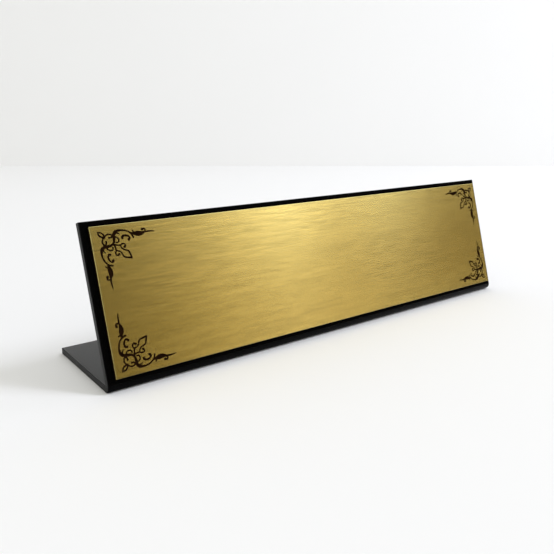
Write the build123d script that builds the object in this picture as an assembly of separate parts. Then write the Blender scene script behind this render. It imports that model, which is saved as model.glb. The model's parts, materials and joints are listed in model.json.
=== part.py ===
from build123d import *
import os
from math import cos, radians, sin, tan

# Desk name plate, in millimetres. One black sheet, bent once, leans back on its own foot and carries an
# engraved plate on strips of double-sided tape. The plate is a thin gold face bonded to a black core, and the
# engraving goes through the face, so the core shows in it as dark lines.
# Frame: origin on the desk, under the middle of the whole object. +X runs along the plate to the reader's
# right, +Y to the back and +Z up.

# Stand
sheet_thickness = 2.4
bend_inner_radius = 0.2
panel_lean = 16.5  # degrees, back from upright
foot_depth = 45.6  # from the sharp corner that the outer faces would meet in, to the rear edge
edge_break = 0.2  # small chamfer all round the sheet's cut edges

# Plate
plate_length = 200.0
plate_height = 50.0
core_thickness = 1.1
face_thickness = 0.2
face_bevel = 0.1  # cut round the gold face's front edges
bevel_limit = 0.8  # most of the face's thickness that the bevel may take
border_above = 2.1  # black sheet that shows above the plate
border_ends = 2.6  # and beyond each of its ends
bend_gap = 1.45  # flat sheet between the bend and the plate's lower edge

# Tape
tape_thickness = 0.4
tape_gap = 4.5  # between one strip and the next
tape_edge_inset = 2.5  # from the plate's upper and lower edges to the outer strips
tape_end_inset = 4.0  # from the plate's ends to the strips' ends
tape_names = ("tape_lower", "tape_middle", "tape_upper")

# Engraving
scroll_share = 0.394  # of the plate's height: the scroll's reach along the plate, from bud to tail
scroll_inset_along = 2.55  # from the plate's end to the bud's tip
scroll_inset_down = 2.05  # from the plate's upper or lower edge to the bud's tip
scroll_squeeze = 0.955  # the scroll is a little shorter across the plate than along it

# One arm of a corner scroll, as drawn. Each stroke has the points of its middle line, measured from the bud's
# tip along the plate and across it, the cutter's widths spread evenly along it, and the diameter of its end
# bulb. The other arm is the same strokes, with along and across changed over.
scroll_arm = {
    "bud": ([(0, 0), (1.1, 0.3), (1.75, 1), (2.05, 2.05)], (0.5, 0.6, 0.6), 0),
    "loop": ([(2.05, 1.9), (2.6, 1.3), (3.4, 1.05), (4.2, 1.2), (4.6, 1.7), (4.3, 2.2),
              (3.6, 2.3)], (0.5, 0.6, 0.55), 0.8),
    "arch": ([(4.5, 4.5), (5, 3.7), (5.15, 2.6), (5.3, 1.4), (5.9, 0.55), (6.9, 0.15), (8.2, 0.15),
              (9.5, 0.45), (10.7, 1.1), (11.5, 2), (11.9, 3.1)], (0.7, 1, 1.15, 0.65, 0.55, 0.65), 0),
    "spur": ([(5.6, 0.9), (6.5, 0.95), (7.3, 1.45)], (0.6, 0.5, 0.35), 0),
    "ear": ([(5.3, 2.1), (6.1, 2.35), (6.6, 3), (6.65, 3.7), (6.25, 4.2), (5.65, 4.2)], (0.5, 0.5, 0.5), 0),
    "curl": ([(8, 2.95), (8, 2.5), (8.45, 2.15), (9.2, 2.1), (9.9, 2.3), (10.45, 2.75), (10.6, 3.3),
              (10.2, 3.6)], (0.8, 0.7, 0.55), 1),
    "leaf": ([(11.7, 1.55), (13.2, 1.9), (14.8, 2), (16.3, 1.6)], (0.7, 1.6, 1.5, 0.55), 0),
    "tuft": ([(12, 0.7), (12.3, 1.2), (12.6, 1.7)], (0.5, 0.45, 0.4), 0),
    "tendril": ([(16.2, 1.7), (16.45, 1.1), (16.3, 0.6), (15.8, 0.45),
                 (15.45, 0.65)], (0.55, 0.6, 0.6), 1),
    "tail": ([(15.5, 1.75), (17.6, 1.6), (19.7, 1.8)], (0.65, 0.6, 0.35), 0),
    "branch": ([(4.5, 4.5), (5.6, 5.05), (6.8, 5.2), (7.6, 4.85), (8.35, 4.95), (8.65, 5.5),
                (8.3, 5.95)], (0.6, 0.55, 0.55), 0.95),
    "petal": ([(6.9, 5.2), (7.15, 6.1), (7.8, 6.85), (8.7, 7.2), (9.4, 7.6), (9.75, 8.6),
               (10.1, 10.1)], (0.5, 0.55, 0.65), 0),
}

# Sizes that follow from those above
lean = radians(panel_lean)
panel_width = plate_length + 2 * border_ends
bend_outer_radius = bend_inner_radius + sheet_thickness
half_corner = (radians(90) - lean) / 2
bend_length = bend_outer_radius / tan(half_corner)  # from the sharp corner to the end of the bend
plate_start = bend_length + bend_gap
panel_height = plate_start + plate_height + border_above  # along the panel, from the sharp corner
tape_gaps = len(tape_names) - 1
tape_width = (plate_height - 2 * tape_edge_inset - tape_gaps * tape_gap) / len(tape_names)
drawn_tail, *_ = scroll_arm["tail"]
scroll_scale = scroll_share * plate_height / drawn_tail[-1][0]


def between(values, share):
    """The value at a share of the way along values that are evenly spread, on straight lines between them."""
    place = share * (len(values) - 1)
    index = min(int(place), len(values) - 2)
    return values[index] + (values[index + 1] - values[index]) * (place - index)


def stroke(points, widths, bulb):
    """The outline of one engraved stroke, with the round ends that a turning cutter leaves, and its bulb."""
    middle = Spline(*points)
    last = len(points) - 1
    half_widths = [scroll_scale * width / 2 for width in widths]
    left = []
    right = []
    for index in range(len(points)):
        share = index / last
        side = (middle % share).rotate(Axis.Z, 90) * between(half_widths, share)
        left.append(middle @ share + side)
        right.append(middle @ share - side)
    start_cap = ThreePointArc(right[0], middle @ 0 - (middle % 0) * half_widths[0], left[0])
    end_cap = ThreePointArc(left[-1], middle @ 1 + (middle % 1) * half_widths[-1], right[-1])
    outline = make_face([start_cap, Spline(*left), end_cap, Spline(*reversed(right))])
    return [outline, Pos(*(middle @ 1)) * Circle(scroll_scale * bulb / 2)] if bulb else [outline]


def corner_scroll():
    """The scroll of the plate's upper left corner, flat, in the plate's own plane with its centre at zero."""
    left = scroll_inset_along - plate_length / 2
    top = plate_height / 2 - scroll_inset_down
    strokes = []
    for points, widths, bulb in scroll_arm.values():
        for first, second in ((0, 1), (1, 0)):
            along = [left + scroll_scale * point[first] for point in points]
            across = [top - scroll_scale * scroll_squeeze * point[second] for point in points]
            strokes += stroke(list(zip(along, across)), widths, bulb)
    return Sketch() + strokes


def bent_sheet():
    """The stand: an L-shaped profile of even thickness, drawn out along X, with its cut edges broken."""
    panel_top = (panel_height * sin(lean), panel_height * cos(lean))
    outside = FilletPolyline((foot_depth, 0), (0, 0), panel_top, radius=bend_outer_radius)
    profile = make_face(Plane.YZ * offset(outside, sheet_thickness, side=Side.RIGHT))
    sheet = extrude(profile, panel_width / 2, both=True)
    ends = sheet.faces().sort_by(Axis.X)
    rear_edge = sheet.faces().sort_by(Axis.Y)[-1]
    top_edge = sheet.faces().sort_by(Axis.Z)[-1]
    cut_faces = ShapeList([ends[0], ends[-1], rear_edge, top_edge])
    return chamfer(cut_faces.edges(), edge_break)


def on_plate(width, height, thickness, distance):
    """A flat piece, centred on the plate and lying at a distance in front of the panel."""
    return Pos(0, 0, distance) * Box(width, height, thickness, align=(Align.CENTER, Align.CENTER, Align.MIN))


def engraved_face():
    """The gold face: cut through to the core by a scroll, mirrored to all four corners, and bevelled."""
    left_scrolls = corner_scroll()
    left_scrolls += mirror(left_scrolls, Plane.XZ)
    outline = Rectangle(plate_length, plate_height) - left_scrolls - mirror(left_scrolls, Plane.YZ)
    front = extrude(outline, face_thickness).faces().group_by(Axis.Z)[-1].sort_by(SortBy.AREA)[-1]
    bevel = min(face_bevel, bevel_limit * face_thickness)
    return Pos(0, 0, tape_thickness + core_thickness) * chamfer(front.outer_wire().edges(), bevel)


def tape_strips():
    """Strips of one width, spread evenly between the plate's lower and upper edges."""
    lowest = tape_edge_inset + tape_width / 2 - plate_height / 2
    pitch = tape_width + tape_gap
    strip = on_plate(plate_length - 2 * tape_end_inset, tape_width, tape_thickness, 0)
    return {name: Pos(0, lowest + pitch * index, 0) * strip for index, name in enumerate(tape_names)}


# The plate and its tape are made flat, then laid on the panel's front with the plate's centre as their zero
plate_centre = plate_start + plate_height / 2
panel_front = Plane(
    origin=(0, plate_centre * sin(lean), plate_centre * cos(lean)),
    x_dir=(1, 0, 0),
    z_dir=(0, -cos(lean), sin(lean)),
)
flat_pieces = {
    "plate_core": on_plate(plate_length, plate_height, core_thickness, tape_thickness),
    "gold_face": engraved_face(),
    **tape_strips(),
}
pieces = {"stand": bent_sheet()}
for name, piece in flat_pieces.items():
    pieces[name] = panel_front * piece

# All pieces move together, to bring the middle of the whole object over the origin
box = Compound(list(pieces.values())).bounding_box()
to_middle = Pos(0, -(box.min.Y + box.max.Y) / 2, 0)
os.makedirs("parts", exist_ok=True)
for name, piece in pieces.items():
    export_step(to_middle * piece, f"parts/{name}.step")
    print(name, len(piece.solids()), "solids,", round(piece.volume, 2), "mm3")
print("overall", box.size, "moved by", to_middle.position)
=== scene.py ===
# %% [markdown]
# # A desk name plate
# The object is a black acrylic sheet, bent once along its length, so that a panel leans back on its own
# foot. A thin gold plate with an engraved scroll in each corner is stuck to the panel with double-sided tape.
# The CAD model holds every size. It is loaded first and stays where it is, as the frame that the looks
# hang on.

# %% Load the CAD model
import json
from math import atan2, cos, degrees, pi, radians, sin

import bpy
from mathutils import Matrix, Vector


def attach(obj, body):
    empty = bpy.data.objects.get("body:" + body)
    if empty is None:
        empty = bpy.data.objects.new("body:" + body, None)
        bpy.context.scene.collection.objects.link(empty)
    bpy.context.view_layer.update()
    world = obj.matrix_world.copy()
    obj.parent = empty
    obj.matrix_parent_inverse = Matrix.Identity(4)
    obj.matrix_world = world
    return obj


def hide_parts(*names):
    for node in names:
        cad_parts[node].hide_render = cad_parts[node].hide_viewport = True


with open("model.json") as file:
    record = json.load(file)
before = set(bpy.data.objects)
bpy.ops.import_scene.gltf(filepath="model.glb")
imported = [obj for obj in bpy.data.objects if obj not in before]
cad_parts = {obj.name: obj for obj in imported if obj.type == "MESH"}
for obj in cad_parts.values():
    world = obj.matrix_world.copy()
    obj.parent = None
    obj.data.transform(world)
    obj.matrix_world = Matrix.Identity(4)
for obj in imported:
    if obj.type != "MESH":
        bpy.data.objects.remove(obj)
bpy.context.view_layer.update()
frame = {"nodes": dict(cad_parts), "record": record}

solids = frame["nodes"]
scene = bpy.context.scene
print("CAD pieces:", ", ".join(sorted(solids)))

# %% [markdown]
# The plate leans, so an upright box round it tells neither its height nor its thickness. Each solid is
# measured along three directions instead: along the plate, up its face, and out of its face towards the
# reader. The record's mount on the face gives the last one, and the other two follow from it.

# %% Measure the leaning plate
name_face = next(mount for mount in frame["record"]["mounts"] if mount["name"] == "name_face")
along = Vector((1, 0, 0))
backward = Vector((0, 1, 0))
outward = Vector(name_face["axis"]).normalized()
up = outward.cross(along)
lean = atan2(outward.z, -outward.y)


def reach(solid, direction):
    """The least and the greatest distance that a CAD piece reaches along a direction."""
    distances = [corner.co.dot(direction) for corner in solids[solid].data.vertices]
    return min(distances), max(distances)


def middle(solid, direction):
    """The distance along a direction at which a CAD piece has its middle."""
    return sum(reach(solid, direction)) / 2


def extent(solid, direction):
    """The length of a CAD piece along a direction."""
    low, high = reach(solid, direction)
    return high - low


plate_length = extent("gold_face", along)
plate_height = extent("gold_face", up)
face_thickness = extent("gold_face", outward)
face_back = reach("gold_face", outward)[0]
plate_middle = up * middle("gold_face", up) + outward * face_back
plate_turn = (pi / 2 - lean, 0, 0)
print(f"plate {plate_length:.4f} x {plate_height:.4f} m, face {face_thickness:.5f} m thick")
print(f"the plate leans back {degrees(lean):.1f} degrees")

# %% [markdown]
# Shapes and finishes are both written as node trees. Clicking nodes together by hand is quick to try out,
# but hard to read back, so one small class writes them here. A wire is the socket that a value comes out of.
# Plain arithmetic on wires adds Math nodes, and `add` makes any other kind of node: first its settings, then
# its sockets.

# %% A short way to write node trees
class Wire:
    """A value on its way through a node tree."""

    def __init__(self, socket):
        self.socket = socket

    @classmethod
    def add(cls, tree, kind, settings=None, sockets=None, result=None):
        """A new node's result: its first output, or the named one. A list links many wires to one socket."""
        node = tree.nodes.new(kind)
        for name, value in (settings or {}).items():
            setattr(node, name, value)
        for name, value in (sockets or {}).items():
            socket = next(found for found in node.inputs if found.identifier == name)
            parts = value if isinstance(value, list) else [value]
            for part in parts:
                if isinstance(part, Wire):
                    tree.links.new(part.socket, socket)
                else:
                    socket.default_value = part
        wanted = [found for found in node.outputs if result in (None, found.identifier)]
        return cls(wanted[0])

    def beside(self, name):
        """Another output of the node that this wire comes from."""
        return Wire(self.socket.node.outputs[name])

    def axes(self):
        """The three parts of a vector."""
        x = Wire.add(self.socket.id_data, "ShaderNodeSeparateXYZ", {}, {"Vector": self})
        return x, x.beside("Y"), x.beside("Z")

    def maths(self, operation, *values):
        """The result of a Math node on some values."""
        sockets = dict(zip(("Value", "Value_001", "Value_002"), values))
        return Wire.add(self.socket.id_data, "ShaderNodeMath", {"operation": operation}, sockets)

    def __add__(self, other):
        return self.maths("ADD", self, other)

    def __radd__(self, other):
        return self.maths("ADD", other, self)

    def __sub__(self, other):
        return self.maths("SUBTRACT", self, other)

    def __rsub__(self, other):
        return self.maths("SUBTRACT", other, self)

    def __mul__(self, other):
        return self.maths("MULTIPLY", self, other)

    def __rmul__(self, other):
        return self.maths("MULTIPLY", other, self)

    def __truediv__(self, other):
        return self.maths("DIVIDE", self, other)

    def __rtruediv__(self, other):
        return self.maths("DIVIDE", other, self)

    def __abs__(self):
        return self.maths("ABSOLUTE", self)

    def __gt__(self, other):
        return self.maths("GREATER_THAN", self, other)

    def __lt__(self, other):
        return self.maths("LESS_THAN", self, other)

    def at_least(self, other):
        """The larger of two values."""
        return self.maths("MAXIMUM", self, other)

    def ramp(self, low, high, start=0.0, end=1.0):
        """A smooth change from start to end, while this value goes from low to high."""
        sockets = {"Value": self, "From Min": low, "From Max": high, "To Min": start, "To Max": end}
        settings = {"interpolation_type": "SMOOTHSTEP"}
        return Wire.add(self.socket.id_data, "ShaderNodeMapRange", settings, sockets)

    def spread(self, start=0.0, end=1.0):
        """A noise, most of which lies between 0.3 and 0.7, spread out from start to end."""
        return self.ramp(0.3, 0.7, start, end)


print("a Wire knows + - * / abs < > and has axes, at_least, ramp and spread")

# %% [markdown]
# Every finish here is a Principled shader. What is the same all over a surface is set straight on the
# shader, and what changes from place to place comes from patterns on Object coordinates, in metres. A
# pattern then keeps its real scale and stays put, because each piece has its place in its mesh and its
# object at the origin. Pictures wrapped round a piece would do too, but they blur when one looks closer.

# %% Finishes, in general
class Finish:
    """A material with a Principled shader, and a few patterns to feed it."""

    def __init__(self, name, **constants):
        self.material = bpy.data.materials.new(name)
        self.material.use_nodes = True
        self.tree = self.material.node_tree
        self.shader = next(node for node in self.tree.nodes if node.type == "BSDF_PRINCIPLED")
        self.set_constants(self.shader, constants)
        self.place = self.add("ShaderNodeTexCoord", result="Object")

    @staticmethod
    def set_constants(shader, constants):
        """Sets what is the same all over. The spaces in a socket's label are written as underscores."""
        for label, value in constants.items():
            shader.inputs[label.replace("_", " ")].default_value = value

    def add(self, kind, settings=None, sockets=None, result=None):
        return Wire.add(self.tree, kind, settings, sockets, result)

    def laid(self, origin, turn):
        """Object coordinates as seen from a place and turn of one's own, as along the leaning plate."""
        return self.add("ShaderNodeMapping", {"vector_type": "TEXTURE"},
                        {"Vector": self.place, "Location": origin, "Rotation": turn})

    def stepped(self, vector, size):
        """Coordinates that count in steps of a size in metres: one for all three axes, or one for each."""
        lengths = size if isinstance(size, tuple) else (size, size, size)
        steps = tuple(1 / length for length in lengths)
        return self.add("ShaderNodeVectorMath", {"operation": "MULTIPLY"},
                        {"Vector": vector, "Vector_001": steps})

    def noise(self, vector, size, detail=2.0):
        """Cloudy noise with spots of about a size."""
        sockets = {"Vector": self.stepped(vector, size), "Scale": 1.0, "Detail": detail}
        return self.add("ShaderNodeTexNoise", {}, sockets, "Fac")

    def marks(self, vector, size):
        """Straight marks of about a size, each in a colour of its own, which Math nodes read as a grey."""
        sockets = {"Vector": self.stepped(vector, size), "Scale": 1.0}
        return self.add("ShaderNodeTexVoronoi", {"voronoi_dimensions": "2D"}, sockets, "Color")

    def blend(self, share, first, second):
        """The first colour where share is 0 and the second where it is 1."""
        sockets = {"Factor_Float": share, "A_Color": first, "B_Color": second}
        return self.add("ShaderNodeMix", {"data_type": "RGBA"}, sockets, "Result_Color")

    def bump(self, height, distance):
        """Fine relief for the shader alone. A height of 1 stands for a distance in metres."""
        return self.add("ShaderNodeBump", {}, {"Height": height, "Distance": distance, "Strength": 1.0})

    def cover(self, share, colour, **constants):
        """Mixes a share of a second shader over the first, as for a surface with two kinds of shine."""
        second = self.tree.nodes.new("ShaderNodeBsdfPrincipled")
        self.set_constants(second, constants)
        self.tree.links.new(colour.socket, second.inputs["Base Color"])
        shaders = {"Shader": Wire(self.shader.outputs["BSDF"]), "Shader_001": Wire(second.outputs["BSDF"])}
        both = self.add("ShaderNodeMixShader", {}, {"Fac": share, **shaders})
        surface = next(node for node in self.tree.nodes if node.type == "OUTPUT_MATERIAL").inputs["Surface"]
        self.tree.links.new(both.socket, surface)

    def feed(self, **wires):
        """Links the patterns to the first shader, and returns the finished material."""
        for label, wire in wires.items():
            self.tree.links.new(wire.socket, self.shader.inputs[label.replace("_", " ")])
        print(self.material.name, "has", len(self.tree.nodes), "nodes")
        return self.material


print("a Finish has the patterns noise and marks, and feeds them to its shader")

# %% [markdown]
# The stand's black acrylic is a cast sheet: deep black, smooth, and a little hazy where hands and cloths have
# been. Where it was sawn, at both ends, at the foot's rear and along the panel's top, it is duller, with
# faint marks from the saw. One even gloss would be quicker, but black only shows in what it mirrors, and an
# even mirror looks like a drawing. So the work is in the roughness: a slow haze, fine hairlines, a few specks
# of dust and the sawn edges each add to it.

# %% Black acrylic
deep_black = (0.0015, 0.0015, 0.0017, 1)
dust_grey = (0.02, 0.02, 0.019, 1)
scratch_depth = 0.00001
sawn_from = 0.0001  # all sawn this near to an edge
end_fade = 0.0004  # and not at all beyond this distance from the ends
edge_fade = 0.0002  # or from the rear and top edges


def sawn_edges(finish):
    """1 on the sheet's sawn edges and 0 on its faces."""
    x, y, z = finish.place.axes()
    half_width = extent("stand", along) / 2
    rear = reach("stand", backward)[1]
    top = reach("stand", up)[1]
    ends = abs(x).ramp(half_width - end_fade, half_width - sawn_from)
    rear_edge = y.ramp(rear - edge_fade, rear - sawn_from)
    top_edge = (y * up.y + z * up.z).ramp(top - edge_fade, top - sawn_from)
    return ends.at_least(rear_edge).at_least(top_edge)


def black_acrylic():
    finish = Finish("black_acrylic", Specular_IOR_Level=0.2, IOR=1.49)
    haze = finish.noise(finish.place, 0.03, 3.0)
    hairlines = finish.noise(finish.place, (0.02, 0.0004, 0.0004)).ramp(0.62, 0.8)
    dust = finish.noise(finish.place, 0.0007, 1.0).ramp(0.78, 0.84)
    saw_marks = finish.noise(finish.place, (0.02, 0.00025, 0.004))
    sawn = sawn_edges(finish)
    colour = finish.blend(dust * 0.25, deep_black, dust_grey)
    worn = haze.spread(0.1, 0.16) + hairlines * 0.06 + dust * 0.2
    roughness = worn + sawn * (0.28 + saw_marks * 0.12)
    relief = finish.bump(hairlines * -0.1 + saw_marks * sawn, scratch_depth)
    return finish.feed(Base_Color=colour, Roughness=roughness, Normal=relief)


acrylic = black_acrylic()

# %% [markdown]
# The stand is one sheet, so one line describes it: from the foot's rear edge to the bend, and on up the
# leaning panel. Two boxes, one for each side, would leave a seam at the bend. Three points give the middle
# line, half the sheet's thickness inside the CAD model's faces.

# %% The middle line of the bent sheet
sheet_thickness = 0.0024
bend_inner_radius = 0.0002

half_sheet = sheet_thickness / 2
panel_line = reach("stand", outward)[1] - half_sheet
rear_end = Vector((0, reach("stand", backward)[1], half_sheet))
fold = Vector((0, (outward.z * half_sheet - panel_line) / -outward.y, half_sheet))
top_end = outward * panel_line + up * reach("stand", up)[1]
foot_length = (rear_end - fold).length
panel_length = (top_end - fold).length
print(f"from the fold: foot {foot_length:.5f} m, panel {panel_length:.5f} m")

# %% [markdown]
# Both rebuilt pieces are grown by Geometry Nodes: a tree with named inputs for its sizes. Pushing points
# about by hand would be quicker once, but a tree can be given other sizes and grows the piece again. It runs
# as a modifier on a simple mesh, and what comes out is kept as a plain mesh, with the modifier taken off.

# %% Shapes, in general
class Shape:
    """A Geometry Nodes tree with named inputs, and a few steps that it is made of."""

    def __init__(self, name, inputs):
        self.tree = bpy.data.node_groups.new(name, "GeometryNodeTree")
        self.tree.interface.new_socket("Geometry", in_out="OUTPUT", socket_type="NodeSocketGeometry")
        for label, kind in {"Geometry": "Geometry", **inputs}.items():
            self.tree.interface.new_socket(label, in_out="INPUT", socket_type="NodeSocket" + kind)
        entry = self.tree.nodes.new("NodeGroupInput")
        self.size = {label: Wire(entry.outputs[label]) for label in ("Geometry", *inputs)}

    def add(self, kind, settings=None, sockets=None, result=None):
        return Wire.add(self.tree, kind, settings, sockets, result)

    def moved(self, geometry, x_to, y_to, z_to=0.0, **selection):
        """The geometry with its points, or a selection of them, put to new places."""
        target = self.add("ShaderNodeCombineXYZ", {}, {"X": x_to, "Y": y_to, "Z": z_to})
        sockets = {"Geometry": geometry, "Position": target, **selection}
        return self.add("GeometryNodeSetPosition", {}, sockets)

    def joined(self, *geometries):
        """Several geometries as one."""
        return self.add("GeometryNodeJoinGeometry", {}, {"Geometry": list(geometries)})

    def stored(self, name):
        """A number that each point of the first mesh holds under a name."""
        return self.add("GeometryNodeInputNamedAttribute", {"data_type": "FLOAT"}, {"Name": name})

    def close(self, geometry):
        """The end of every tree: real geometry instead of instances, and a material on all of it."""
        real = self.add("GeometryNodeRealizeInstances", {}, {"Geometry": geometry})
        coated = self.add("GeometryNodeSetMaterial", {}, {"Geometry": real, "Material": self.size["Finish"]})
        leave = self.tree.nodes.new("NodeGroupOutput")
        self.tree.links.new(coated.socket, leave.inputs["Geometry"])

    def grown(self, name, start, sizes):
        """A new object whose mesh will come out of the tree. The sizes are set before it is looked at."""
        piece = bpy.data.objects.new(name, start)
        scene.collection.objects.link(piece)
        modifier = piece.modifiers.new("shape", "NODES")
        modifier.node_group = self.tree
        for item in self.tree.interface.items_tree:
            if item.in_out == "INPUT" and item.name in sizes:
                modifier[item.identifier] = sizes[item.name]
        return piece


def settle(piece, place=Matrix.Identity(4)):
    """Keeps what the modifiers make as a plain mesh, put in its place, and takes the modifiers off."""
    state = bpy.context.evaluated_depsgraph_get()
    plain = bpy.data.meshes.new_from_object(
        piece.evaluated_get(state), preserve_all_data_layers=True, depsgraph=state)
    piece.modifiers.clear()
    piece.data = plain
    plain.name = piece.name
    plain.transform(place)
    print(piece.name, "has", len(plain.vertices), "points and", len(plain.polygons), "faces")
    return plain


print("a Shape adds nodes to a tree, grows a piece, and settle keeps it")

# %% [markdown]
# Such a stand is made by heating a sheet along a line and folding it there. Here a fillet rounds the middle
# line at the fold, and the sheet's long thin section is drawn along it. A mesh box with a bent loop would do
# too, but the line keeps the thickness even all the way round. A bevel breaks the sharp edges, since no real
# edge is quite sharp and each one catches a thin light. It is a hair wider than the CAD model's chamfer,
# because a round of the same width would bulge past it.

# %% The stand
edge_round = 0.00021


def bent_sheet():
    shape = Shape("bent_sheet", {
        "Width": "Float", "Thickness": "Float", "Bend Radius": "Float", "Bend Steps": "Int",
        "Finish": "Material"})
    size = shape.size
    line = shape.add("GeometryNodeMeshToCurve", {}, {"Mesh": size["Geometry"]})
    bent = shape.add("GeometryNodeFilletCurve", {"mode": "POLY"},
                     {"Curve": line, "Count": size["Bend Steps"], "Radius": size["Bend Radius"]})
    section = shape.add("GeometryNodeCurvePrimitiveQuadrilateral", {"mode": "RECTANGLE"},
                        {"Width": size["Width"], "Height": size["Thickness"]})
    sheet = shape.add("GeometryNodeCurveToMesh", {},
                      {"Curve": bent, "Profile Curve": section, "Fill Caps": True})
    shape.close(sheet)
    return shape


middle_line = bpy.data.meshes.new("middle_line")
middle_line.from_pydata([rear_end, fold, top_end], [(0, 1), (1, 2)], [])
stand = bent_sheet().grown("bent_stand", middle_line, {
    "Width": extent("stand", along),
    "Thickness": sheet_thickness,
    "Bend Radius": bend_inner_radius + half_sheet,
    "Bend Steps": 16,
    "Finish": acrylic,
})
rounding = stand.modifiers.new("broken edges", "BEVEL")
rounding.width = edge_round
rounding.segments = 3
rounding.limit_method = "ANGLE"
rounding.angle_limit = radians(40)
flat_look = stand.modifiers.new("flat faces stay flat", "WEIGHTED_NORMAL")
flat_look.weight = 100
settle(stand)
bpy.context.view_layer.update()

# %% [markdown]
# The plate's face is a thin gold-coloured metal sheet, brushed from end to end. Each brush mark is a tiny
# groove along the plate, so light spreads across the grooves and hardly along them. That is what Anisotropic
# on the shader does, and its direction comes from the mesh's texture space, which is set after the face is
# made. Such a sheet has two kinds of shine: a broad one, deep gold, from the grooves, and a narrow one, pale,
# from the ridges between them. One shader has only one kind, so a second is mixed in. Marks of three lengths
# colour both. The bevel is bare metal, and its pale colour reaches a little way onto the face as a painted
# highlight along the plate's edge. The engraved walls are darkened.

# %% Brushed gold
face_bevel = 0.0001
rim_width = 0.0003
brushing = {"Anisotropic": 0.95, "Anisotropic_Rotation": 0.25}
ridge_share = 0.72
dull_groove = (0.74, 0.385, 0.0, 1)
bright_groove = (1, 0.52, 0.0, 1)
dull_ridge = (0.74, 0.68, 0.266, 1)
bright_ridge = (1, 0.92, 0.36, 1)
# Pale gold: bare metal on the bevel, and a painted highlight along the plate's edge
bare_metal_and_painted_highlight = (0.78, 0.66, 0.34, 1)
darkened_wall = (0.02, 0.011, 0.006, 1)


def brushed_gold():
    finish = Finish("gold_sheet", Specular_IOR_Level=0.1, **brushing)
    place = finish.laid(plate_middle, plate_turn)
    x, y, _ = place.axes()
    long_marks = finish.marks(place, (0.024, 0.0004, 0.01))
    short_marks = finish.marks(place, (0.007, 0.00035, 0.01))
    hairlines = finish.noise(place, (0.03, 0.00016, 0.01))
    brushed = long_marks * 0.3 + short_marks * 0.5 + hairlines * 0.2
    bright = brushed.ramp(0.1, 0.9)
    grooves = finish.blend(bright, dull_groove, bright_groove)
    ridges = finish.blend(bright, dull_ridge, bright_ridge)
    past_bevel = (abs(x) - (plate_length / 2 - face_bevel)).at_least(abs(y) - (plate_height / 2 - face_bevel))
    # Paler towards the edge: bare metal on the bevel, and a painted highlight a little way in from it
    bare_rim_and_painted_highlight = past_bevel.ramp(-rim_width, 0.0, 0.0, 0.5)
    gold_sheet = finish.blend(bare_rim_and_painted_highlight, grooves, bare_metal_and_painted_highlight)
    engraved = finish.add("ShaderNodeAttribute", {"attribute_name": "engraved"}, result="Fac")
    colour = finish.blend(engraved, gold_sheet, darkened_wall)
    roughness = brushed.ramp(0.2, 0.8, 0.51, 0.45) + engraved * 0.4
    finish.cover(ridge_share * (1 - engraved), ridges, Metallic=1.0, Roughness=0.24, **brushing)
    return finish.feed(Base_Color=colour, Roughness=roughness, Metallic=1 - engraved)


gold = brushed_gold()

# %% [markdown]
# An engraver draws one corner scroll and repeats it. It grows from a bud in the corner into two arms that are
# the same but for the swap of along and across, so one arm's strokes are all that has to be drawn. Each
# stroke is a few points on its middle line, the cutter's widths spread evenly along it, and the diameter of
# its end bulb. Curves drawn by hand in Blender would do too, but a table is easy to measure and correct.

# %% One arm of the corner scroll, in millimetres
millimetre = 0.001
scroll_arm = {
    "bud": ([(0, 0), (1.1, 0.3), (1.75, 1), (2.05, 2.05)], (0.5, 0.6, 0.6), 0),
    "loop": ([(2.05, 1.9), (2.6, 1.3), (3.4, 1.05), (4.2, 1.2), (4.6, 1.7), (4.3, 2.2),
              (3.6, 2.3)], (0.5, 0.6, 0.55), 0.8),
    "arch": ([(4.5, 4.5), (5, 3.7), (5.15, 2.6), (5.3, 1.4), (5.9, 0.55), (6.9, 0.15), (8.2, 0.15),
              (9.5, 0.45), (10.7, 1.1), (11.5, 2), (11.9, 3.1)], (0.7, 1, 1.15, 0.65, 0.55, 0.65), 0),
    "spur": ([(5.6, 0.9), (6.5, 0.95), (7.3, 1.45)], (0.6, 0.5, 0.35), 0),
    "ear": ([(5.3, 2.1), (6.1, 2.35), (6.6, 3), (6.65, 3.7), (6.25, 4.2), (5.65, 4.2)], (0.5, 0.5, 0.5), 0),
    "curl": ([(8, 2.95), (8, 2.5), (8.45, 2.15), (9.2, 2.1), (9.9, 2.3), (10.45, 2.75), (10.6, 3.3),
              (10.2, 3.6)], (0.8, 0.7, 0.55), 1),
    "leaf": ([(11.7, 1.55), (13.2, 1.9), (14.8, 2), (16.3, 1.6)], (0.7, 1.6, 1.5, 0.55), 0),
    "tuft": ([(12, 0.7), (12.3, 1.2), (12.6, 1.7)], (0.5, 0.45, 0.4), 0),
    "tendril": ([(16.2, 1.7), (16.45, 1.1), (16.3, 0.6), (15.8, 0.45),
                 (15.45, 0.65)], (0.55, 0.6, 0.6), 1),
    "tail": ([(15.5, 1.75), (17.6, 1.6), (19.7, 1.8)], (0.65, 0.6, 0.35), 0),
    "branch": ([(4.5, 4.5), (5.6, 5.05), (6.8, 5.2), (7.6, 4.85), (8.35, 4.95), (8.65, 5.5),
                (8.3, 5.95)], (0.6, 0.55, 0.55), 0.95),
    "petal": ([(6.9, 5.2), (7.15, 6.1), (7.8, 6.85), (8.7, 7.2), (9.4, 7.6), (9.75, 8.6),
               (10.1, 10.1)], (0.5, 0.55, 0.65), 0),
}


def between(values, share):
    """The value at a share of the way along values that are evenly spread, on straight lines between them."""
    place = share * (len(values) - 1)
    index = min(int(place), len(values) - 2)
    return values[index] + (values[index + 1] - values[index]) * (place - index)


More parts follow.
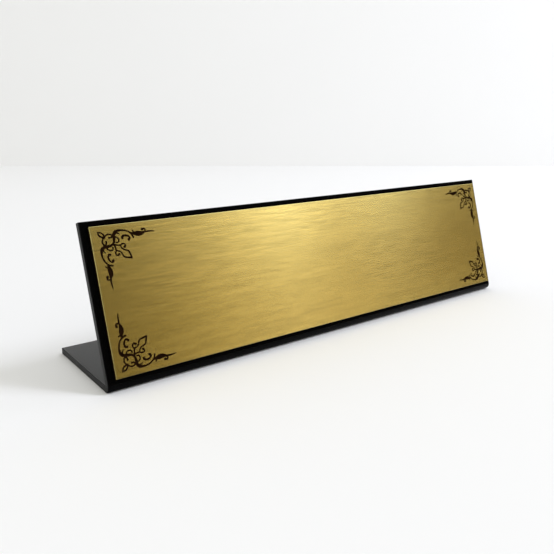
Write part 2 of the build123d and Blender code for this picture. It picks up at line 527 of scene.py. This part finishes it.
def stroke_lines(strokes):
    """A mesh of the middle lines. Each point also holds half the cutter's width and its end's radius."""
    points = []
    edges = []
    half_widths = []
    end_radii = []
    for line, widths, bulb in strokes.values():
        last = len(line) - 1
        edges += [(len(points) + step, len(points) + step + 1) for step in range(last)]
        for index, (x, y) in enumerate(line):
            half_width = between(widths, index / last) / 2
            points.append((x * millimetre, y * millimetre, 0))
            half_widths.append(half_width * millimetre)
            end_radii.append(max(half_width, bulb / 2 if index == last else 0) * millimetre)
    mesh = bpy.data.meshes.new("stroke_lines")
    mesh.from_pydata(points, edges, [])
    for name, values in (("half_width", half_widths), ("end_radius", end_radii)):
        mesh.attributes.new(name, "FLOAT", "POINT").data.foreach_set("value", values)
    return mesh


scroll_lines = stroke_lines(scroll_arm)
print("one arm:", len(scroll_arm), "strokes with", len(scroll_lines.vertices), "points")

# %% [markdown]
# The face's tree does what the engraver does, and it is written in four steps. The first lays out the lines:
# it bends them smoothly through their points, adds the swapped arm, and mirrors the scroll to the other
# corners. Mirroring lines rather than finished cutters keeps every face of the cutters pointing outwards.

# %% Four scrolls, as lines
face_shape = Shape("engraved_face", {
    "Length": "Float", "Height": "Float", "Thickness": "Float", "Bevel": "Float", "Columns": "Int",
    "Rows": "Int", "Inset Along": "Float", "Inset Down": "Float", "Squeeze": "Float", "Curve Steps": "Int",
    "End Sides": "Int", "Finish": "Material"})


def four_scrolls(shape):
    size = shape.size
    x, y, _ = shape.add("GeometryNodeInputPosition").axes()
    arm = shape.add("GeometryNodeMeshToCurve", {}, {"Mesh": size["Geometry"]})
    arm = shape.add("GeometryNodeCurveSplineType", {"spline_type": "CATMULL_ROM"}, {"Curve": arm})
    arm = shape.add("GeometryNodeSetSplineResolution", {},
                    {"Geometry": arm, "Resolution": size["Curve Steps"]})
    scroll = shape.joined(arm, shape.moved(arm, y, x))
    corner = shape.moved(scroll, x + size["Inset Along"] - size["Length"] / 2,
                         size["Height"] / 2 - size["Inset Down"] - size["Squeeze"] * y)
    left_side = shape.joined(corner, shape.moved(corner, x, -1 * y))
    return shape.joined(left_side, shape.moved(left_side, -1 * x, y))


scrolls = four_scrolls(face_shape)
print("with the lines, the face's tree has", len(face_shape.tree.nodes), "nodes")

# %% [markdown]
# A turning cutter leaves a stroke with round ends. So each line becomes a ribbon of the stroke's own width,
# with a round post at each end, a larger one where there is a bulb. All of them are made as deep as it takes
# to go right through the face, whatever their width. Each stays a piece of its own, because a boolean wants
# cutters that are closed and don't cross themselves.

# %% Cutters
def stroke_cutters(shape, lines):
    size = shape.size
    x, y, z = shape.add("GeometryNodeInputPosition").axes()
    # Section and post reach 1 to each side, so a stroke's half width or end radius is what they are scaled by
    section = shape.add("GeometryNodeCurvePrimitiveQuadrilateral", {"mode": "RECTANGLE"},
                        {"Width": 2.0, "Height": 2.0})
    ribbons = shape.add("GeometryNodeCurveToMesh", {}, {
        "Curve": lines, "Profile Curve": section, "Scale": shape.stored("half_width"), "Fill Caps": True})
    post = shape.add("GeometryNodeMeshCylinder", {},
                     {"Vertices": size["End Sides"], "Radius": 1.0, "Depth": 2.0})
    posts = shape.add("GeometryNodeInstanceOnPoints", {}, {
        "Points": lines, "Selection": shape.add("GeometryNodeCurveEndpointSelection"), "Instance": post,
        "Scale": shape.stored("end_radius")})
    posts = shape.add("GeometryNodeRealizeInstances", {}, {"Geometry": posts})
    # The lower side goes half a thickness below the sheet, and the upper one half a thickness above it
    depth = size["Thickness"] * (0.5 + z.maths("SIGN", z))
    deep = shape.moved(shape.joined(ribbons, posts), x, y, depth)
    return shape.add("GeometryNodeSplitToInstances", {"domain": "FACE"},
                     {"Geometry": deep, "Group ID": shape.add("GeometryNodeInputMeshIsland")})


cutters = stroke_cutters(face_shape, scrolls)
print("with the cutters, the face's tree has", len(face_shape.tree.nodes), "nodes")

# %% [markdown]
# The sheet is a flat box whose front is pushed out by the bevel and drawn in at its edges. A plain box has
# one large front face, and with hundreds of corners cut into it, that may not fill cleanly. A grid of columns
# and rows keeps every face that the cutters leave small and simple.

# %% The bevelled sheet
half_turned = 0.5  # a face lies flat if its normal goes further up than this, and stands upright otherwise


def bevelled_sheet(shape):
    size = shape.size
    x, y, z = shape.add("GeometryNodeInputPosition").axes()
    _, _, facing = shape.add("GeometryNodeInputNormal").axes()
    body = size["Thickness"] - size["Bevel"]
    box_size = shape.add("ShaderNodeCombineXYZ", {}, {"X": size["Length"], "Y": size["Height"], "Z": body})
    box = shape.add("GeometryNodeMeshCube", {}, {
        "Size": box_size, "Vertices X": size["Columns"], "Vertices Y": size["Rows"], "Vertices Z": 2})
    sheet = shape.moved(box, x, y, z + body / 2)
    sheet = shape.add("GeometryNodeExtrudeMesh", {"mode": "FACES"}, {
        "Mesh": sheet, "Selection": facing > half_turned, "Offset Scale": size["Bevel"], "Individual": False})
    return shape.moved(sheet, x * (1 - 2 * size["Bevel"] / size["Length"]),
                       y * (1 - 2 * size["Bevel"] / size["Height"]), z, Selection=sheet.beside("Top"))


sheet = bevelled_sheet(face_shape)
print("with the sheet, the face's tree has", len(face_shape.tree.nodes), "nodes")

# %% [markdown]
# Last, a boolean takes the cutters out of the sheet. Dark lines painted on the gold would be simpler, but
# real strokes have a depth that shows from the side. Their walls are marked with a number on their faces, so
# that the gold finish can darken them: they stand upright, and they lie inside the plate's rim, which has
# upright faces too. The face is grown lying flat, and then laid on the leaning panel.

# %% The engraved gold face
scroll_inset_along = 2.55 * millimetre
scroll_inset_down = 2.05 * millimetre
scroll_squeeze = 0.955


def engrave(shape, sheet, cutters):
    size = shape.size
    x, y, _ = shape.add("GeometryNodeInputPosition").axes()
    _, _, facing = shape.add("GeometryNodeInputNormal").axes()
    cut = shape.add("GeometryNodeMeshBoolean", {"operation": "DIFFERENCE", "solver": "MANIFOLD"},
                    {"Mesh 1": sheet, "Mesh 2": cutters})
    rim = size["Inset Down"] / 2
    inside = (abs(x) < size["Length"] / 2 - rim) * (abs(y) < size["Height"] / 2 - rim)
    wall = inside * (abs(facing) < half_turned)
    marked = shape.add("GeometryNodeStoreNamedAttribute", {"data_type": "FLOAT", "domain": "FACE"},
                       {"Geometry": cut, "Name": "engraved", "Value": wall})
    flat = shape.add("GeometryNodeSetShadeSmooth", {"domain": "FACE"},
                     {"Geometry": marked, "Shade Smooth": False})
    shape.close(flat)


engrave(face_shape, sheet, cutters)
face = face_shape.grown("engraved_gold_face", scroll_lines, {
    "Length": plate_length,
    "Height": plate_height,
    "Thickness": face_thickness,
    "Bevel": face_bevel,
    "Columns": 81,
    "Rows": 21,
    "Inset Along": scroll_inset_along,
    "Inset Down": scroll_inset_down,
    "Squeeze": scroll_squeeze,
    "Curve Steps": 6,
    "End Sides": 16,
    "Finish": gold,
})
on_panel = Matrix.Translation(plate_middle) @ Matrix((
    (*along, 0), (*up, 0), (*outward, 0), (0, 0, 0, 1))).transposed()
face_mesh = settle(face, on_panel)

# %% [markdown]
# Brush marks need a direction that holds all over the face. A UV map and a Tangent node could give one.
# Without them, the shader turns it about the middle of the mesh's texture space. With that middle far behind
# the plate, the direction is along the plate everywhere, and no map is needed.

# %% Direction of the brushing
far_behind = 100
face_mesh.use_auto_texspace = False
face_mesh.texspace_location = backward * far_behind
face_mesh.texspace_size = (1, 1, 1)
print("texture space at", tuple(face_mesh.texspace_location))

# %% [markdown]
# The black core lies under the gold face. It shows in the engraved lines, where the cutter's heat left it a
# little brown, and as the plate's dark side. It could be rebuilt as the face was, but its solid has the right
# shape already, so it only takes a finish: matte, with a fine tooth, and a little uneven in its brown.

# %% Black core
core_black = (0.009, 0.004, 0.0016, 1)
core_brown = (0.016, 0.007, 0.0025, 1)
tooth_depth = 0.00002


def matte_core():
    finish = Finish("matte_core", Specular_IOR_Level=0.0)
    place = finish.laid(plate_middle, plate_turn)
    tooth = finish.noise(place, 0.00012)
    patches = finish.noise(place, 0.002)
    colour = finish.blend(patches.spread(), core_black, core_brown)
    relief = finish.bump(tooth, tooth_depth)
    return finish.feed(Base_Color=colour, Roughness=tooth.spread(0.55, 0.75), Normal=relief)


def coat(solid, material):
    """Gives a CAD piece one material and no other."""
    solids[solid].data.materials.clear()
    solids[solid].data.materials.append(material)


coat("plate_core", matte_core())

# %% [markdown]
# Three strips of double-sided tape hold the plate. They only show as a pale line deep in the gap at the
# plate's edge. Such tape is a soft off-white foam with fine pores. Cutting the pores into the mesh would take
# thousands of faces for a line as thin as that, so a bump stands for them.

# %% Double-sided tape
foam_shade = (0.72, 0.7, 0.64, 1)
foam_light = (0.82, 0.81, 0.77, 1)
pore_depth = 0.00003


def foam_tape():
    finish = Finish("foam_tape", Specular_IOR_Level=0.3)
    pores = finish.noise(finish.place, 0.00015)
    cloud = finish.noise(finish.place, 0.004)
    colour = finish.blend(cloud.spread(), foam_shade, foam_light)
    relief = finish.bump(pores, pore_depth)
    return finish.feed(Base_Color=colour, Roughness=pores.spread(0.7, 0.9), Normal=relief)


tape = foam_tape()
for strip in ("tape_lower", "tape_middle", "tape_upper"):
    coat(strip, tape)

# %% [markdown]
# The two rebuilt pieces stand for their solids, which stay hidden in the model for collision. Nothing moves
# on this object, so everything rides on the one body.

# %% Tie the pieces to the CAD model
for piece, solid, slot in ((stand, "stand", "black_sheet"), (face, "gold_face", "brushed_gold")):
    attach(piece, "root")
    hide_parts(solid)
    print(piece.name, "stands for", solid)

# %% [markdown]
# The camera stands left of the plate, a little above it, and looks down along the leaning panel. Its place
# and lens could be found by moving it about until the picture looks right. These come from fitting the
# object's known edges to a picture of it, which is closer. The Standard view shows each colour about as it is
# written here.

# %% Camera
camera_place = Vector((-0.17058, -0.20235, 0.09004))
camera_down = radians(15.172)
camera_turn = radians(37.071)
camera_data = bpy.data.cameras.new("portrait")
camera_data.sensor_width = 36
camera_data.lens = 40.505
camera = bpy.data.objects.new("portrait", camera_data)
camera.location = camera_place
camera.rotation_euler = (pi / 2 - camera_down, 0, -camera_turn)
scene.collection.objects.link(camera)
scene.camera = camera
scene.view_settings.view_transform = "Standard"
print("camera at", tuple(round(n, 4) for n in camera_place))

# %% [markdown]
# The stage is a white table with a white wall behind it. The wall stands square to the camera's view, about a
# metre away, and the line where the two meet shows faintly behind the plate. A studio's curved sheet would
# hide that line, so these are two flat ones, each drawn out to both sides of a line. Their white is not quite
# even, as no wall is.

# %% Table and wall
wall_distance = 1.015
wall_height = 2.5
table_front = -3
stage_side = 4
table_white = 0.895
wall_white = 0.95
mottle_shade = 0.99
view_along = Vector((sin(camera_turn), cos(camera_turn), 0))
view_across = Vector((cos(camera_turn), -sin(camera_turn), 0))


def grey(level):
    """A colour with the same level of red, green and blue."""
    return (level, level, level, 1)


def white_paint(name, level):
    finish = Finish(name, Specular_IOR_Level=0.0, Roughness=0.9)
    mottle = finish.noise(finish.place, 0.2)
    return finish.feed(Base_Color=finish.blend(mottle, grey(level), grey(mottle_shade * level)))


def sweep(name, line, sideways, material):
    """A sheet on the stage, drawn out to both sides of a line of points."""
    points = [point + sign * sideways for point in line for sign in (-1, 1)]
    faces = [(2 * row, 2 * row + 1, 2 * row + 3, 2 * row + 2) for row in range(len(line) - 1)]
    mesh = bpy.data.meshes.new(name)
    mesh.from_pydata(points, [], faces)
    mesh.materials.append(material)
    mesh.shade_smooth()
    made = bpy.data.objects.new(name, mesh)
    scene.collection.objects.link(made)
    return made


def away(distance, height):
    """A point straight ahead of the camera, at a distance along the table and a height above it."""
    return Vector((camera_place.x, camera_place.y, 0)) + view_along * distance + Vector((0, 0, height))


table_line = [away(table_front, 0), away(wall_distance, 0)]
wall_line = [away(wall_distance, 0), away(wall_distance, wall_height)]
sweep("table", table_line, view_across * stage_side, white_paint("table_paint", table_white))
sweep("wall", wall_line, view_across * stage_side, white_paint("wall_paint", wall_white))

# %% [markdown]
# Two tall softboxes stand high in front, to the reader's right: a main one, and a dimmer one further right.
# Their shadow falls to the left and back. Brushed metal draws each lamp out into a band across the marks, and
# the two bands side by side make one broad bright one. One wide lamp would do too, but two can be balanced.

# %% Softboxes
lamp_distance = 2.2
lamp_width = 0.2
lamp_height = 0.95
daylight = (0.98, 1.01, 1.16)


def softbox(name, direction, energy):
    """A glowing rectangle in a direction from the object, facing it."""
    data = bpy.data.lights.new(name, "AREA")
    data.shape = "RECTANGLE"
    data.size = lamp_width
    data.size_y = lamp_height
    data.energy = energy
    data.color = daylight
    made = bpy.data.objects.new(name, data)
    made.location = direction.normalized() * lamp_distance
    made.rotation_euler = direction.to_track_quat("Z", "Y").to_euler()
    scene.collection.objects.link(made)
    print(name, "at", tuple(round(n, 3) for n in made.location))


softbox("softbox", direction=Vector((0.52, -0.455, 0.7227)), energy=11.1)
softbox("second_softbox", direction=Vector((0.645, -0.407, 0.646)), energy=7.4)

# %% [markdown]
# The room's pale walls give most of the light. They could be built as a box of white sheets, but the world
# does the same with less noise: an even glow, a little warmer than the lamps, so the shadow has a warm tint.
# It is a little stronger where it is seen or mirrored.

# %% The room
room_colour = (1, 0.995, 0.935, 1)
room_light = 0.78
room_gleam = 0.1

world = bpy.data.worlds.new("studio")
world.use_nodes = True
scene.world = world
background = next(node for node in world.node_tree.nodes if node.type == "BACKGROUND")
background.inputs["Color"].default_value = room_colour
seen = Wire.add(world.node_tree, "ShaderNodeLightPath", result="Is Camera Ray")
seen = seen.at_least(seen.beside("Is Glossy Ray")).at_least(seen.beside("Is Transmission Ray"))
world.node_tree.links.new((room_light + room_gleam * seen).socket, background.inputs["Strength"])
print("room light", room_light, "and", round(room_light + room_gleam, 2), "where it is mirrored")

# %% [markdown]
# A black sheet only shows what it mirrors, and in an all-white room it would turn grey. A photographer lays a
# dark cloth in front of it. This one lies on the table and rises at its far end, and only reflections see it.
# Close to the stand, a strip that goes from dark grey to light grey takes its place: the bend mirrors it, and
# shows a faint light that grows along the plate.

# %% Dark cloth and grey strip
above_table = 0.0002
strip_start = -0.0195
strip_dark = 0.1
strip_light = 0.5
strip_fade = 0.15
cloth_start = -0.08
cloth_rise = -0.75
cloth_end = -0.8
cloth_bend = 0.05
cloth_top = 0.6
cloth_middle = 0.8
cloth_side = 1.4
cloth_colour = (0.03, 0.022, 0.012, 1)


def grey_strip():
    finish = Finish("grey_strip", Roughness=0.9, Specular_IOR_Level=0.0)
    x, _, _ = finish.place.axes()
    to_right = x.ramp(-strip_fade, strip_fade)
    return finish.feed(Base_Color=finish.blend(to_right, grey(strip_dark), grey(strip_light)))


def for_reflections(name, profile, material):
    """A sheet along the plate that neither the camera nor the light on the table knows of."""
    line = [Vector((cloth_middle, y, z)) for y, z in profile]
    made = sweep(name, line, along * cloth_side, material)
    made.visible_camera = False
    made.visible_diffuse = False
    made.visible_shadow = False
    print(name, "rises to", max(z for y, z in profile), "m")


dark_cloth = Finish("dark_cloth", Base_Color=cloth_colour, Roughness=0.9, Specular_IOR_Level=0.0).material
strip_profile = [(strip_start, above_table), (cloth_start, above_table)]
cloth_profile = [
    (cloth_start, above_table), (cloth_rise, above_table), (cloth_end, cloth_bend), (cloth_end, cloth_top)]
for_reflections("grey_strip", strip_profile, grey_strip())
for_reflections("dark_cloth", cloth_profile, dark_cloth)
